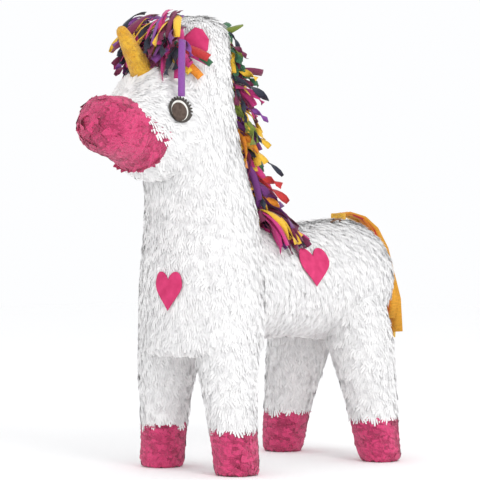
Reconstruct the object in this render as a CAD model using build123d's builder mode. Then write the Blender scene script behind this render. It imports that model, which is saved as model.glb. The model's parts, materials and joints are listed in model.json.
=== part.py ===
from build123d import *
import math
import os

# A standing unicorn pinata.
# A hollow cardboard figure, covered with strips of cut tissue fringe, with crepe paper
# on its muzzle, hooves and horn, and crepe streamers for its forelock, mane and tail.
#
# Frame: millimetres, +Z up, floor at Z = 0, the head looks towards -Y and +X is the
# animal's left side. The origin is on the floor, under the middle of the figure.

# ---------------------------------------------------------------- paper and board
BOARD = 3.0            # cardboard wall of the body, neck, head and legs
FRINGE = 6.0           # tissue fringe on the body, neck and head
LEG_FRINGE = 5.0       # tissue fringe and crepe wrap on the legs
CREPE = 1.6            # crepe wrap of the horn
CARD = 1.0             # each glued-on paper layer: hearts and eyes
SOLE = 2.0             # crepe under each hoof

# ---------------------------------------------------------------- barrel and rump
BARREL_Z = 222.0       # height of the barrel's axis
SHOULDER_Y, SHOULDER_R = -81.0, 72.0
SADDLE_Y, SADDLE_R = 85.0, 69.0
RUMP_Y, RUMP_R = 150.0, 74.5

# ---------------------------------------------------------------- chest and neck
# Each level: height, place along Y, half width, half depth, all at the fringe's surface.
NECK_LEVELS = [
    (140.0, -80.0, 82.0, 62.0),
    (180.0, -80.0, 83.0, 62.5),
    (225.0, -79.0, 82.0, 62.5),
    (280.0, -79.0, 73.5, 62.0),
    (330.0, -86.0, 65.5, 58.0),
    (379.0, -97.0, 60.0, 55.0),
    (440.0, -104.0, 55.0, 52.0),
    (531.0, -103.0, 48.0, 48.0),
]
POLL_ROUND = 29.0      # rounding of the top of the head
BRISKET_ROUND = 14.0   # rounding under the chest

# ---------------------------------------------------------------- head
# Each level: place along Y, height, half width, half height, at the fringe's surface.
HEAD_LEVELS = [
    (-257.0, 402.0, 11.0, 9.0),
    (-244.0, 402.5, 31.0, 27.0),
    (-228.0, 402.0, 40.0, 32.5),
    (-208.0, 400.0, 44.0, 36.5),
    (-190.0, 403.0, 47.0, 51.0),
    (-172.0, 406.5, 49.5, 63.5),
    (-140.0, 408.0, 51.0, 66.0),
    (-112.0, 410.0, 48.0, 64.0),
]
# Y and Z of the crepe muzzle's back edge, from the bridge of the nose to the chin
MUZZLE_EDGE = [
    (-211.0, 441.0),
    (-216.0, 425.0),
    (-209.0, 410.0),
    (-195.0, 395.0),
    (-177.0, 382.0),
    (-181.0, 364.0),
    (-196.0, 345.0),
]

# ---------------------------------------------------------------- legs
# Each level: height, distance from the middle, place along Y, radius at the fringe.
FRONT_LEG = [
    (0.0, 64.0, -84.0, 24.5),
    (50.0, 59.0, -85.0, 27.0),
    (105.0, 53.0, -86.0, 32.0),
    (150.0, 47.0, -85.0, 37.5),
    (190.0, 42.0, -84.0, 36.0),
    (215.0, 40.0, -84.0, 27.0),
]
REAR_LEG = [
    (0.0, 84.0, 146.0, 23.5),
    (75.0, 69.0, 144.0, 31.0),
    (122.0, 57.0, 144.0, 37.5),
    (160.0, 48.0, 144.0, 39.5),
    (200.0, 42.0, 144.0, 32.0),
    (222.0, 40.0, 143.0, 22.0),
]
HOOF_HEIGHT = 50.0
HOOF_ROUND = 8.0

# ---------------------------------------------------------------- fill flap in the back
FLAP_FRONT, FLAP_BACK = 50.0, 110.0
FLAP_HALF = 33.0
FLAP_GAP = 0.7
FLAP_CORNER = 5.0

# ---------------------------------------------------------------- hanging loops
DOWEL_R = 4.0
DOWEL_LENGTH = 28.0
DOWEL_CLEARANCE = 0.6  # between the dowel and the board above it
WIRE_R = 1.1
EYE_CLEARANCE = 0.4    # between the wire's eye and its dowel
LOOP_HALF = 7.0        # half the distance between a loop's two arms
LOOP_REACH = 31.0      # from the dowel's axis to the top of the arch
LOOP_LEAN = 60.0       # degrees from upright
FRONT_LOOP_Y = 31.0
REAR_LOOP_Y = 131.0
BOARD_SLOT = (36.0, 3.4)        # length across the back, width
FRINGE_SLOT = (53.0, 4.2)

# ---------------------------------------------------------------- horn and ears
HORN_BASE = (0.0, -179.0, 469.0)
HORN_TILT = 32.0       # degrees forward from upright
HORN_LENGTH = 57.0
HORN_BASE_R, HORN_TIP_R = 11.5, 4.5
HORN_FOOT = 16.0       # how far the horn's core reaches down to the board
EAR_BASE = (39.0, -127.0, 489.0)
EAR_WIDTH, EAR_HEIGHT = 32.0, 31.0
EAR_STEM = 14.0        # glued in under the fringe
EAR_FACE = (0.58, -0.78, 0.22)  # the way the left ear's face points
EAR_CARD = 1.2

# ---------------------------------------------------------------- eyes and hearts
EYE_Y, EYE_Z = -167.0, 418.0
IRIS_R = 10.5
WHITE_R, WHITE_SHIFT = 11.8, (2.2, 1.4)
LASH_SIZE, LASH_SHIFT = (34.0, 30.0), (5.5, 2.5)
CHEST_HEART = (38.0, 45.0, 213.0)          # width, height, centre's Z
CHEST_HEART_TURN = 10.0                    # degrees round to the left
FLANK_HEART = (50.0, 44.0, 44.5, 238.0)    # width, height, centre's Y and Z

# ---------------------------------------------------------------- streamers
# Each level: height, place along Y, half width, half depth.
FORELOCK_LEVELS = [
    (464.0, -133.0, 60.0, 44.0),
    (505.0, -130.0, 58.0, 44.0),
    (545.0, -122.0, 46.0, 36.0),
]
FORELOCK_ROUND = 20.0
MANE_STRIP = (1.5, 9.0)         # thickness and half width of the glued backing
MANE_HALF = 34.0
MANE_OUTSIDE = [(-24, 522), (-11, 480), (-11, 430), (-4, 380), (10, 335), (21, 300)]
MANE_FOOT, MANE_TOP, MANE_FRONT = 300.0, 522.0, -84.0
DRAPE_DEPTH, DRAPE_FOOT = 13.0, 263.0
DRAPE_PLAN = [(-14, -32), (78, -32), (78, 46), (52, 54), (16, 16), (-14, 16)]
TAIL_ROOT_Y, TAIL_ROOT_Z = 164.5, 302.0
TAIL_HALF = 30.0
TAIL_TAB = (20.0, 9.0)          # width and length
TAIL_OUTSIDE = [(166, 305.5), (206, 301), (238, 283), (252, 250), (258, 200), (259, 137)]
TAIL_INSIDE = [(245, 137), (245, 200), (240, 246), (228, 274), (203, 290), (168, 298)]

SIDES = {"left": 1, "right": -1}
FAR = 400.0            # longer than anything it has to cut

os.makedirs("parts", exist_ok=True)


def write(piece, node):
    """Label a finished piece and write its STEP file."""
    piece.part.label = node
    export_step(piece.part, f"parts/{node}.step")


# ================================================================ filled bodies
# Each is the solid shape of a limb, with its surface moved in by inset. The board and
# the fringe are the differences between two of them.


def barrel_body(inset):
    """The barrel, a shallow saddle and the round rump."""
    with BuildPart() as body:
        with BuildSketch(Plane.YZ):
            with BuildLine():
                Spline(
                    (SHOULDER_Y, BARREL_Z - SHOULDER_R + inset),
                    (SADDLE_Y, BARREL_Z - SADDLE_R + inset),
                    (RUMP_Y, BARREL_Z - RUMP_R + inset),
                    tangents=[(1, 0), (1, 0)],
                )
                CenterArc((RUMP_Y, BARREL_Z), RUMP_R - inset, -90, 90)
                Polyline(
                    (RUMP_Y + RUMP_R - inset, BARREL_Z),
                    (SHOULDER_Y, BARREL_Z),
                    (SHOULDER_Y, BARREL_Z - SHOULDER_R + inset),
                )
            make_face()
        revolve(axis=Axis((0, 0, BARREL_Z), (0, 1, 0)))
    return body.part


def neck_body(inset):
    """The chest, neck and back of the head: one tapering column with a round top."""
    with BuildPart() as body:
        for level, (height, y, half_width, half_depth) in enumerate(NECK_LEVELS):
            if level == 0:
                height += inset
            if level == len(NECK_LEVELS) - 1:
                height -= inset
            with BuildSketch(Plane.XY.offset(height)):
                with Locations((0, y)):
                    Ellipse(half_width - inset, half_depth - inset)
        loft()
        fillet(body.edges().group_by(Axis.Z)[-1], POLL_ROUND - inset)
        fillet(body.edges().group_by(Axis.Z)[0], BRISKET_ROUND - inset)
    return body.part


def head_body(inset):
    """The head: oval levels from the nose back into the neck."""
    with BuildPart() as body:
        for level, (y, height, half_width, half_height) in enumerate(HEAD_LEVELS):
            shrink = inset
            if level == 0:
                y, shrink = y + inset, 0
            with BuildSketch(Plane((0, y, height), x_dir=(1, 0, 0), z_dir=(0, 1, 0))):
                Ellipse(half_width - shrink, half_height - shrink)
        loft()
    return body.part


def leg_body(levels, side, inset, foot=0.0):
    """One leg, from foot up into the body, on the side +1 or -1."""
    with BuildPart() as body:
        for height, x, y, radius in levels:
            with BuildSketch(Plane.XY.offset(height)):
                with Locations((side * x, y)):
                    Circle(radius - inset)
        loft()
        if foot > 0:
            split(bisect_by=Plane.XY.offset(foot), keep=Keep.TOP)
    return body.part


def slab(low, high):
    """Everything between two heights."""
    with BuildPart() as body:
        with BuildSketch(Plane.XY.offset(low)):
            Rectangle(2 * FAR, 2 * FAR)
        extrude(amount=high - low)
    return body.part


def outline_prism(plane, points, amount, both=False):
    """A straight-sided outline, extruded from its plane."""
    with BuildPart() as body:
        with BuildSketch(plane):
            with BuildLine():
                Polyline(*points, close=True)
            make_face()
        extrude(amount=amount, both=both)
    return body.part


barrel_outside = barrel_body(0)
barrel_board = barrel_body(FRINGE)
barrel_inside = barrel_body(FRINGE + BOARD)
neck_outside = neck_body(0)
neck_board = neck_body(FRINGE)
neck_inside = neck_body(FRINGE + BOARD)
head_outside = head_body(0)
head_board = head_body(FRINGE)
head_inside = head_body(FRINGE + BOARD)

LEGS = {}
for pair, levels in {"front": FRONT_LEG, "rear": REAR_LEG}.items():
    for side_name, side in SIDES.items():
        LEGS[f"{pair}_{side_name}"] = {
            "outside": leg_body(levels, side, 0),
            "board": leg_body(levels, side, LEG_FRINGE, SOLE),
            "inside": leg_body(levels, side, LEG_FRINGE + BOARD, SOLE),
        }

# ================================================================ cutting shapes


def flap_prism(gap):
    """The fill flap's outline, shrunk by gap and standing through the back."""
    with BuildPart() as body:
        with BuildSketch(Plane.XY.offset(BARREL_Z)):
            with Locations((0, (FLAP_FRONT + FLAP_BACK) / 2)):
                RectangleRounded(
                    2 * (FLAP_HALF - gap), FLAP_BACK - FLAP_FRONT - 2 * gap, FLAP_CORNER
                )
        extrude(amount=FAR)
    return body.part


def loop_slots(size):
    """Two slots for each hanging loop, across the back."""
    with BuildPart() as body:
        with BuildSketch(Plane.XY.offset(BARREL_Z)):
            for loop_y in (FRONT_LOOP_Y, REAR_LOOP_Y):
                with Locations((0, loop_y - LOOP_HALF), (0, loop_y + LOOP_HALF)):
                    SlotOverall(*size)
        extrude(amount=FAR)
    return body.part


def horn_body(grow, foot):
    """The horn's cone, with a round tip, reaching foot below its base."""
    tilt = math.radians(HORN_TILT)
    up = (0, -math.sin(tilt), math.cos(tilt))
    tip_r = HORN_TIP_R + grow
    base_r = HORN_BASE_R + grow
    tip_z = HORN_LENGTH - HORN_TIP_R
    with BuildPart() as body:
        with BuildSketch(Plane(origin=HORN_BASE, x_dir=up, z_dir=(1, 0, 0))):
            with BuildLine():
                Polyline((tip_z, tip_r), (0, base_r), (-foot, base_r), (-foot, 0), (tip_z + tip_r, 0))
                CenterArc((tip_z, 0), tip_r, 0, 90)
            make_face()
        revolve(axis=Axis(HORN_BASE, up))
    return body.part


def ear_plane(side):
    face = Vector(side * EAR_FACE[0], EAR_FACE[1], EAR_FACE[2])
    across = face.cross(Vector(0, 0, 1)) * -1
    return Plane(origin=(side * EAR_BASE[0], EAR_BASE[1], EAR_BASE[2]), x_dir=across, z_dir=face)


def ear_body(side):
    """A cut card ear with a stem, before the head is taken away from it."""
    half = EAR_WIDTH / 2
    outer = side * half
    points = [
        (-0.55 * outer, -EAR_STEM),
        (0.45 * outer, -EAR_STEM),
        (0.75 * outer, 0),
        (outer, 0.45 * EAR_HEIGHT),
        (0.5 * outer, 0.85 * EAR_HEIGHT),
        (0.02 * outer, EAR_HEIGHT),
        (-outer, 0.66 * EAR_HEIGHT),
        (-0.6 * outer, 0),
    ]
    return outline_prism(ear_plane(side), points, EAR_CARD)


def muzzle_zone():
    """The space in front of the crepe muzzle's curved back edge."""
    with BuildPart() as body:
        with BuildSketch(Plane.YZ):
            with BuildLine():
                Polyline(
                    *MUZZLE_EDGE,
                    (MUZZLE_EDGE[-1][0], 0),
                    (-FAR, 0),
                    (-FAR, 2 * FAR),
                    (MUZZLE_EDGE[0][0], 2 * FAR),
                    MUZZLE_EDGE[0],
                )
            make_face()
        extrude(amount=FAR, both=True)
    return body.part


flap_opening = flap_prism(0)
board_slots = loop_slots(BOARD_SLOT)
fringe_slots = loop_slots(FRINGE_SLOT)
horn_core_shape = horn_body(0, HORN_FOOT)
horn_wrap_shape = horn_body(CREPE, HORN_FOOT)
ear_shapes = {name: ear_body(side) for name, side in SIDES.items()}
muzzle_space = muzzle_zone()
rump_space = outline_prism(
    Plane.YZ, [(RUMP_Y, 0), (FAR, 0), (FAR, FAR), (RUMP_Y, FAR)], FAR, both=True
)

# ================================================================ cardboard

with BuildPart() as barrel_tube:
    add(barrel_board)
    add(barrel_inside, mode=Mode.SUBTRACT)
    add(neck_board, mode=Mode.SUBTRACT)
    add(rump_space, mode=Mode.SUBTRACT)
    add(flap_opening, mode=Mode.SUBTRACT)
    add(board_slots, mode=Mode.SUBTRACT)
write(barrel_tube, "barrel_tube")

with BuildPart() as rump_dome:
    add(barrel_board)
    add(barrel_inside, mode=Mode.SUBTRACT)
    add(rump_space, mode=Mode.INTERSECT)
write(rump_dome, "rump_dome")

with BuildPart() as chest_neck_shell:
    add(neck_board)
    add(neck_inside, mode=Mode.SUBTRACT)
    add(slab(0, NECK_LEVELS[0][0] + FRINGE + BOARD), mode=Mode.SUBTRACT)
write(chest_neck_shell, "chest_neck_shell")

with BuildPart() as chest_base_board:
    add(neck_board)
    add(slab(0, NECK_LEVELS[0][0] + FRINGE + BOARD), mode=Mode.INTERSECT)
write(chest_base_board, "chest_base_board")

with BuildPart() as head_shell:
    add(head_board)
    add(head_inside, mode=Mode.SUBTRACT)
    add(neck_board, mode=Mode.SUBTRACT)
write(head_shell, "head_shell")

for leg_name, leg in LEGS.items():
    with BuildPart() as leg_tube:
        add(leg["board"])
        add(leg["inside"], mode=Mode.SUBTRACT)
        add(neck_board, mode=Mode.SUBTRACT)
        add(barrel_board, mode=Mode.SUBTRACT)
    write(leg_tube, f"{leg_name}_leg_tube")

    with BuildPart() as sole_disc:
        add(leg["inside"])
        add(slab(0, SOLE + BOARD), mode=Mode.INTERSECT)
    write(sole_disc, f"{leg_name}_sole_disc")

with BuildPart() as fill_flap:
    add(barrel_board)
    add(barrel_inside, mode=Mode.SUBTRACT)
    add(flap_prism(FLAP_GAP), mode=Mode.INTERSECT)
write(fill_flap, "fill_flap")

# ================================================================ hanging loops


def ceiling_radius(y):
    """Radius of the board's inner face at y, read off the filled barrel."""
    probe = Edge.make_line((0, y, BARREL_Z), (0, y, BARREL_Z + FAR))
    return barrel_inside.intersect(probe).edges()[0].length


def hanging_loop(loop_y, lean):
    """A dowel under the board, and a wire loop with an eye round it at each arm."""
    start, end = loop_y - DOWEL_LENGTH / 2, loop_y + DOWEL_LENGTH / 2
    ceiling = min(ceiling_radius(start), ceiling_radius(end))
    dowel_z = BARREL_Z + ceiling - DOWEL_CLEARANCE - DOWEL_R
    centre = (0, loop_y, dowel_z)
    angle = math.radians(lean)
    ring_r = DOWEL_R + EYE_CLEARANCE + WIRE_R

    with BuildPart() as dowel:
        with BuildSketch(Plane((0, start, dowel_z), x_dir=(1, 0, 0), z_dir=(0, 1, 0))):
            Circle(DOWEL_R)
        extrude(amount=DOWEL_LENGTH)
        chamfer(dowel.edges(), 0.6)

    arm_top = LOOP_REACH - LOOP_HALF
    plane = Plane(centre, x_dir=(0, 1, 0), z_dir=(math.cos(angle), 0, -math.sin(angle)))
    with BuildPart() as loop:
        with BuildLine(plane) as path:
            Line((-LOOP_HALF, ring_r), (-LOOP_HALF, arm_top))
            CenterArc((0, arm_top), LOOP_HALF, 180, -180)
            Line((LOOP_HALF, arm_top), (LOOP_HALF, ring_r))
        with BuildSketch(Plane(path.wire() @ 0, z_dir=path.wire() % 0)):
            Circle(WIRE_R)
        sweep(path=path.wire())
        for arm_y in (loop_y - LOOP_HALF, loop_y + LOOP_HALF):
            with Locations(Location((0, arm_y, dowel_z), (90, 0, 0))):
                Torus(ring_r, WIRE_R)
    return dowel, loop


for loop_name, loop_y, lean in (
    ("front", FRONT_LOOP_Y, -LOOP_LEAN),
    ("rear", REAR_LOOP_Y, LOOP_LEAN),
):
    dowel, loop = hanging_loop(loop_y, lean)
    write(dowel, f"{loop_name}_hanger_dowel")
    write(loop, f"{loop_name}_hanger_loop")

# ================================================================ horn and ears

with BuildPart() as horn_core:
    add(horn_core_shape)
    add(head_board, mode=Mode.SUBTRACT)
    add(neck_board, mode=Mode.SUBTRACT)
write(horn_core, "horn_core")

with BuildPart() as horn_wrap:
    add(horn_wrap_shape)
    add(horn_core_shape, mode=Mode.SUBTRACT)
    add(head_outside, mode=Mode.SUBTRACT)
    add(neck_outside, mode=Mode.SUBTRACT)
write(horn_wrap, "horn_wrap")

for side_name in SIDES:
    with BuildPart() as ear:
        add(ear_shapes[side_name])
        add(neck_board, mode=Mode.SUBTRACT)
        add(head_board, mode=Mode.SUBTRACT)
    write(ear, f"{side_name}_ear")

# ================================================================ tail

with BuildPart() as tail_tab:
    with BuildSketch(Plane.XY.offset(BARREL_Z)):
        with Locations((0, TAIL_ROOT_Y - TAIL_TAB[1] / 2)):
            RectangleRounded(TAIL_TAB[0], TAIL_TAB[1], 2.5)
    extrude(amount=TAIL_ROOT_Z + 2 - BARREL_Z)
    fillet(tail_tab.faces().sort_by(Axis.Z)[-1].edges(), 1.5)
    add(barrel_board, mode=Mode.SUBTRACT)
write(tail_tab, "tail_tab")

with BuildPart() as tail_streamers:
    with BuildSketch(Plane.YZ):
        with BuildLine():
            Spline(*TAIL_OUTSIDE, tangents=[(1, 0), (0, -1)])
            Spline(*TAIL_INSIDE, tangents=[(0, 1), (-1, 0.2)])
            Line(TAIL_OUTSIDE[-1], TAIL_INSIDE[0])
            Line(TAIL_INSIDE[-1], TAIL_OUTSIDE[0])
        make_face()
    extrude(amount=TAIL_HALF, both=True)
    add(barrel_outside, mode=Mode.SUBTRACT)
write(tail_streamers, "tail_streamers")

# ================================================================ tissue fringe

with BuildPart() as barrel_fringe:
    add(barrel_outside)
    add(barrel_board, mode=Mode.SUBTRACT)
    add(neck_outside, mode=Mode.SUBTRACT)
    add(flap_opening, mode=Mode.SUBTRACT)
    add(fringe_slots, mode=Mode.SUBTRACT)
    add(tail_tab.part, mode=Mode.SUBTRACT)
    for leg in LEGS.values():
        add(leg["board"], mode=Mode.SUBTRACT)
write(barrel_fringe, "barrel_fringe")

with BuildPart() as flap_fringe:
    add(barrel_outside)
    add(barrel_board, mode=Mode.SUBTRACT)
    add(flap_prism(FLAP_GAP), mode=Mode.INTERSECT)
write(flap_fringe, "flap_fringe")

with BuildPart() as chest_neck_fringe:
    add(neck_outside)
    add(neck_board, mode=Mode.SUBTRACT)
    add(barrel_board, mode=Mode.SUBTRACT)
    add(head_board, mode=Mode.SUBTRACT)
    add(horn_core_shape, mode=Mode.SUBTRACT)
    for ear_shape in ear_shapes.values():
        add(ear_shape, mode=Mode.SUBTRACT)
    for leg in LEGS.values():
        add(leg["board"], mode=Mode.SUBTRACT)
write(chest_neck_fringe, "chest_neck_fringe")

with BuildPart() as head_fringe:
    add(head_outside)
    add(head_board, mode=Mode.SUBTRACT)
    add(neck_outside, mode=Mode.SUBTRACT)
    add(muzzle_space, mode=Mode.SUBTRACT)
    add(horn_core_shape, mode=Mode.SUBTRACT)
write(head_fringe, "head_fringe")

with BuildPart() as muzzle_wrap:
    add(head_outside)
    add(head_board, mode=Mode.SUBTRACT)
    add(muzzle_space, mode=Mode.INTERSECT)
write(muzzle_wrap, "muzzle_wrap")

for leg_name, leg in LEGS.items():
    with BuildPart() as leg_fringe:
        add(leg["outside"])
        add(leg["board"], mode=Mode.SUBTRACT)
        add(slab(-1, HOOF_HEIGHT), mode=Mode.SUBTRACT)
        add(neck_outside, mode=Mode.SUBTRACT)
        add(barrel_outside, mode=Mode.SUBTRACT)
    write(leg_fringe, f"{leg_name}_leg_fringe")

    with BuildPart() as hoof_wrap:
        add(leg["outside"])
        add(slab(-1, HOOF_HEIGHT), mode=Mode.INTERSECT)
        fillet(hoof_wrap.faces().sort_by(Axis.Z)[0].edges(), HOOF_ROUND)
        add(leg["board"], mode=Mode.SUBTRACT)
    write(hoof_wrap, f"{leg_name}_hoof_wrap")

# ================================================================ eyes


def eye_layer(side, first, shape, size, shift):
    """One paper layer of an eye, laid on the head's curve above the layers under it."""
    outward = Plane((0, EYE_Y + shift[0], EYE_Z + shift[1]), x_dir=(0, side, 0), z_dir=(side, 0, 0))
    with BuildPart() as layer:
        with BuildSketch(outward):
            shape(*size)
        extrude(amount=FAR)
        add(head_body(-(first + 1) * CARD), mode=Mode.INTERSECT)
        add(head_body(-first * CARD), mode=Mode.SUBTRACT)
    return layer


for side_name, side in SIDES.items():
    lash_size = (LASH_SIZE[0] / 2, LASH_SIZE[1] / 2)
    write(eye_layer(side, 0, Ellipse, lash_size, LASH_SHIFT), f"{side_name}_eye_lashes")
    write(eye_layer(side, 1, Circle, (WHITE_R,), WHITE_SHIFT), f"{side_name}_eye_white")
    write(eye_layer(side, 2, Circle, (IRIS_R,), (0, 0)), f"{side_name}_eye_iris")

# ================================================================ hearts


def heart_prism(plane, width, height):
    """A heart outline with round shoulders, extruded from its plane."""
    half = width / 2
    with BuildPart() as body:
        with BuildSketch(plane):
            with BuildLine():
                lobe = Bezier(
                    (0, 0.28 * height), (0.2 * half, 0.54 * height), (0.92 * half, 0.64 * height),
                    (half, 0.2 * height),
                )
                flank = Bezier(
                    (half, 0.2 * height), (1.04 * half, -0.02 * height), (0.4 * half, -0.24 * height),
                    (0, -0.5 * height),
                )
                mirror(lobe, about=Plane.YZ)
                mirror(flank, about=Plane.YZ)
            make_face()
        extrude(amount=FAR)
    return body.part


turn = math.radians(CHEST_HEART_TURN)
heart_width, heart_height, heart_z = CHEST_HEART
with BuildPart() as chest_heart:
    add(neck_body(-CARD))
    add(neck_outside, mode=Mode.SUBTRACT)
    add(
        heart_prism(
            Plane(
                (0, SHOULDER_Y, heart_z),
                x_dir=(math.cos(turn), math.sin(turn), 0),
                z_dir=(math.sin(turn), -math.cos(turn), 0),
            ),
            heart_width,
            heart_height,
        ),
        mode=Mode.INTERSECT,
    )
write(chest_heart, "chest_heart")

heart_width, heart_height, heart_y, heart_z = FLANK_HEART
for side_name, side in SIDES.items():
    with BuildPart() as flank_heart:
        add(barrel_body(-CARD))
        add(barrel_outside, mode=Mode.SUBTRACT)
        add(
            heart_prism(
                Plane((0, heart_y, heart_z), x_dir=(0, side, 0), z_dir=(side, 0, 0)),
                heart_width,
                heart_height,
            ),
            mode=Mode.INTERSECT,
        )
    write(flank_heart, f"{side_name}_flank_heart")

# ================================================================ forelock and mane

with BuildPart() as forelock_streamers:
    for height, y, half_width, half_depth in FORELOCK_LEVELS:
        with BuildSketch(Plane.XY.offset(height)):
            with Locations((0, y)):
                Ellipse(half_width, half_depth)
    loft()
    fillet(forelock_streamers.edges().group_by(Axis.Z)[-1], FORELOCK_ROUND)
    add(neck_outside, mode=Mode.SUBTRACT)
    add(head_outside, mode=Mode.SUBTRACT)
    add(horn_wrap_shape, mode=Mode.SUBTRACT)
    for ear_shape in ear_shapes.values():
        add(ear_shape, mode=Mode.SUBTRACT)
write(forelock_streamers, "forelock_streamers")

strip_thickness, strip_half = MANE_STRIP
with BuildPart() as mane_strip:
    add(neck_body(-strip_thickness))
    add(neck_outside, mode=Mode.SUBTRACT)
    add(
        outline_prism(
            Plane.YZ,
            [(MANE_FRONT, MANE_FOOT), (FAR, MANE_FOOT), (FAR, MANE_TOP), (MANE_FRONT, MANE_TOP)],
            strip_half,
            both=True,
        ),
        mode=Mode.INTERSECT,
    )
write(mane_strip, "mane_strip")

with BuildPart() as mane_crest:
    with BuildSketch(Plane.YZ):
        with BuildLine():
            Spline(*MANE_OUTSIDE)
            Polyline(
                MANE_OUTSIDE[-1], (MANE_FRONT, MANE_FOOT), (MANE_FRONT, MANE_TOP), MANE_OUTSIDE[0]
            )
        make_face()
    extrude(amount=MANE_HALF, both=True)
    mane_block = mane_crest.part
    add(neck_outside, mode=Mode.SUBTRACT)
    add(mane_strip.part, mode=Mode.SUBTRACT)
    add(forelock_streamers.part, mode=Mode.SUBTRACT)
write(mane_crest, "mane_crest_streamers")

with BuildPart() as mane_drape:
    add(barrel_body(-DRAPE_DEPTH))
    add(
        outline_prism(Plane.XY.offset(DRAPE_FOOT), DRAPE_PLAN, FAR),
        mode=Mode.INTERSECT,
    )
    add(barrel_outside, mode=Mode.SUBTRACT)
    add(neck_outside, mode=Mode.SUBTRACT)
    add(mane_block, mode=Mode.SUBTRACT)
write(mane_drape, "mane_drape_streamers")
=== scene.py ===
# %% [markdown]
# # A unicorn pinata, dressed in paper
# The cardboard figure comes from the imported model. This lesson dresses it as a pinata maker does:
# tissue fringe on the body, crepe paper on the muzzle, hooves and horn, and streamers for the hair.
# Everything is in metres, +Z up, with the head towards -Y and the animal's left side at +X.

# %% Load the frame
import json
import math
import random

import bmesh
import bpy
from mathutils import Matrix, Vector
from mathutils.bvhtree import BVHTree


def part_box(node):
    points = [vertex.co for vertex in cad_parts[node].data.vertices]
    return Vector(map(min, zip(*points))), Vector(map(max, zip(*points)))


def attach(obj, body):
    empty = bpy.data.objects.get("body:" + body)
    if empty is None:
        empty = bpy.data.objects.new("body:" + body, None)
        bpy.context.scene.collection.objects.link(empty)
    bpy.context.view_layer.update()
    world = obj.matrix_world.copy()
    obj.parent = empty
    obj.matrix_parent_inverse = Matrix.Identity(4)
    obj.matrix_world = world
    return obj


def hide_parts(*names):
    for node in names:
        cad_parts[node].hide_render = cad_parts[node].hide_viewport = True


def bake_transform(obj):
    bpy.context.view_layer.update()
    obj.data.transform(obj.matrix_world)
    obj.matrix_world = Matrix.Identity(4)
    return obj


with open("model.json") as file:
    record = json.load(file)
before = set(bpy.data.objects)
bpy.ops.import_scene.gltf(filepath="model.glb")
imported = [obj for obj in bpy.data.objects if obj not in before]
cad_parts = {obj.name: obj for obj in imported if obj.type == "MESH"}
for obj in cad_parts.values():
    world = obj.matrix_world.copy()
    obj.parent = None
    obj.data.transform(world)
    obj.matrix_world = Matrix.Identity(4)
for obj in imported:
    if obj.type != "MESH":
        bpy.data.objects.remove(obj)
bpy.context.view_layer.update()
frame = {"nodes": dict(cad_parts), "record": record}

scene = bpy.context.scene
nodes = frame["nodes"]
MM = 0.001


def middle(node):
    """The middle of a node's box."""
    low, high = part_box(node)
    return (low + high) / 2


# %% [markdown]
# ## Camera and light
# A long lens, level with the animal's back, looks at its left front quarter. Pinatas are matt, so
# two large soft lamps and a bright sky show the paper's folds. Small lamps would throw hard shadows.

# %% Camera and lamps
EYE_LEVEL = 0.293
DISTANCE = 2.6
LOOK_AT_HEIGHT = 0.28
AZIMUTH = math.radians(45)
towards_camera = Vector((math.sin(AZIMUTH), -math.cos(AZIMUTH), 0))
camera_right = Vector((math.cos(AZIMUTH), math.sin(AZIMUTH), 0))
stand = Vector((0, 0.040, EYE_LEVEL)) - camera_right * 0.039
camera_data = bpy.data.cameras.new("camera")
camera_data.lens, camera_data.sensor_width = 159.9, 36
camera = bpy.data.objects.new("camera", camera_data)
camera.location = stand + towards_camera * DISTANCE
aim = stand + Vector((0, 0, -0.022)) - camera.location
camera.rotation_euler = aim.to_track_quat("-Z", "Y").to_euler()
scene.collection.objects.link(camera)
scene.camera = camera
scene.view_settings.view_transform = "Standard"


def lamp(name, place, size, power):
    """A square area lamp, aimed at the middle of the figure."""
    data = bpy.data.lights.new(name, "AREA")
    data.size, data.energy = size, power
    thing = bpy.data.objects.new(name, data)
    thing.location = place
    towards = Vector((0, 0, LOOK_AT_HEIGHT)) - Vector(place)
    thing.rotation_euler = towards.to_track_quat("-Z", "Y").to_euler()
    scene.collection.objects.link(thing)


lamp("key", (2.1, -0.5, 1.5), 0.9, 19)
lamp("front", (-0.9, -2.2, 1.3), 1.6, 3)
sky = bpy.data.worlds.new("sky")
sky.use_nodes = True
sky.node_tree.nodes["Background"].inputs["Color"].default_value = (0.985, 0.99, 1.0, 1)
sky.node_tree.nodes["Background"].inputs["Strength"].default_value = 1.0
scene.world = sky
print("camera at", [round(c, 3) for c in camera.location])

# %% [markdown]
# ## Shader maths as plain expressions
# `Value` wraps a socket, so that `0.8 + 0.2 * tone` adds its own Math nodes. `Finish` is one
# material, with one method for every other kind of node. The nodes could be wired one by one, but a
# formula is quicker to read and to change.

# %% Value and Finish
SHADER_NODE = "Principled BSDF"


class Value:
    """A number that varies over a surface."""

    def __init__(self, tree, socket):
        self.tree, self.socket = tree, socket

    def _math(self, operation, first, second):
        node = self.tree.nodes.new("ShaderNodeMath")
        node.operation = operation
        for socket, operand in zip(node.inputs, (first, second)):
            if isinstance(operand, Value):
                self.tree.links.new(operand.socket, socket)
            else:
                socket.default_value = operand
        return Value(self.tree, node.outputs[0])

    def __add__(self, other):
        return self._math("ADD", self, other)

    def __radd__(self, other):
        return self._math("ADD", other, self)

    def __rmul__(self, other):
        return self._math("MULTIPLY", other, self)


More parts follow.
